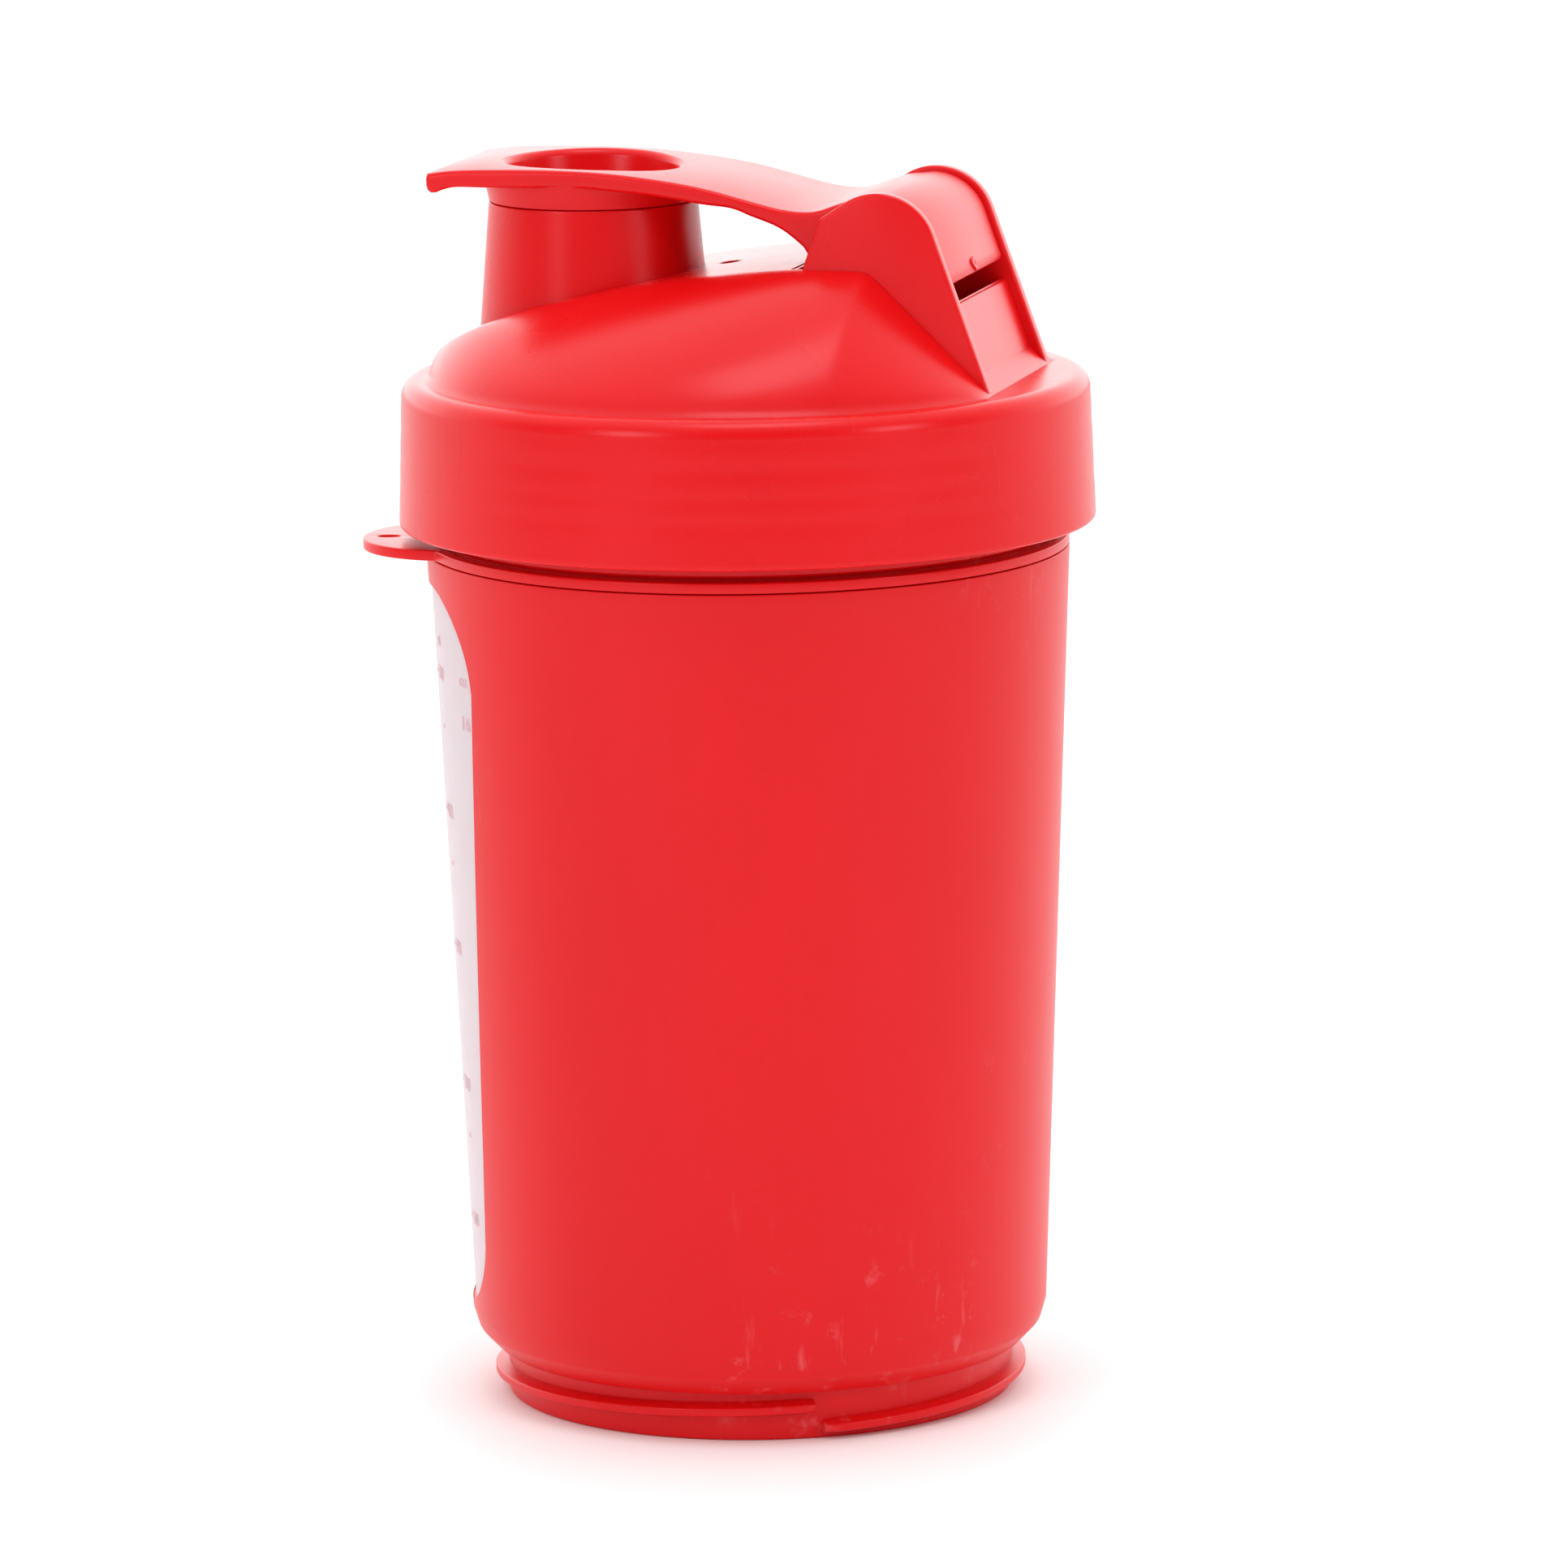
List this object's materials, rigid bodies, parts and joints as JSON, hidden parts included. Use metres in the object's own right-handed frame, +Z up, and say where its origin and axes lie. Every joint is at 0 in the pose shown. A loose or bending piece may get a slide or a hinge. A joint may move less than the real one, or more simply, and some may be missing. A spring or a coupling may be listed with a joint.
{
  "type": "protein shaker bottle",
  "caption": "Red shaker bottle with a tapered cup, level window, swivelling carry ring, screw lid with a spout, and a hinged flip cap.",
  "frame": {"origin": "centre of the foot's bottom plane, on the bottle's axis", "axes": "+Z up along the bottle's axis; the spout is towards -X and the flip cap's hinge towards +X; +Y completes a right-handed frame"},
  "size_m": [0.1025, 0.0982, 0.1754],
  "materials": {
    "red_cup": "satin",
    "clear_cup": "frosted translucent",
    "red_ring": "satin",
    "strainer_plastic": "satin",
    "seal_rubber": "matt",
    "red_lid": "satin",
    "red_flip": "satin"
  },
  "bodies": {
    "cup": {"cup_shell": "red_cup", "cup_liner": "clear_cup", "strainer": "strainer_plastic"},
    "ring": {"carry_ring": "red_ring"},
    "lid": {"lid_shell": "red_lid"},
    "seal": {"lid_seal": "seal_rubber"},
    "flip": {"flip_cap": "red_flip"}
  },
  "joints": [
    {"name": "ring_swivel", "type": "hinge", "parent": "cup", "child": "ring", "pos_m": [0, 0, 0.122], "axis": [0, 0, 1], "continuous": true},
    {"name": "lid_lift", "type": "slide", "parent": "cup", "child": "seal", "axis": [0, 0, 1], "range_m": [0, 0.00801]},
    {"name": "lid_turn", "type": "hinge", "parent": "seal", "child": "lid", "pos_m": [0, 0, 0.1434], "axis": [0, 0, 1], "range_deg": [0, 240]},
    {"name": "flip_hinge", "type": "hinge", "parent": "lid", "child": "flip", "pos_m": [0.0239, 0, 0.1648], "axis": [0, 1, 0], "range_deg": [0, 180]}
  ],
  "couplings": [
    {"joint": "lid_lift", "follows": "lid_turn", "m_per_rad": 0.0019099}
  ]
}
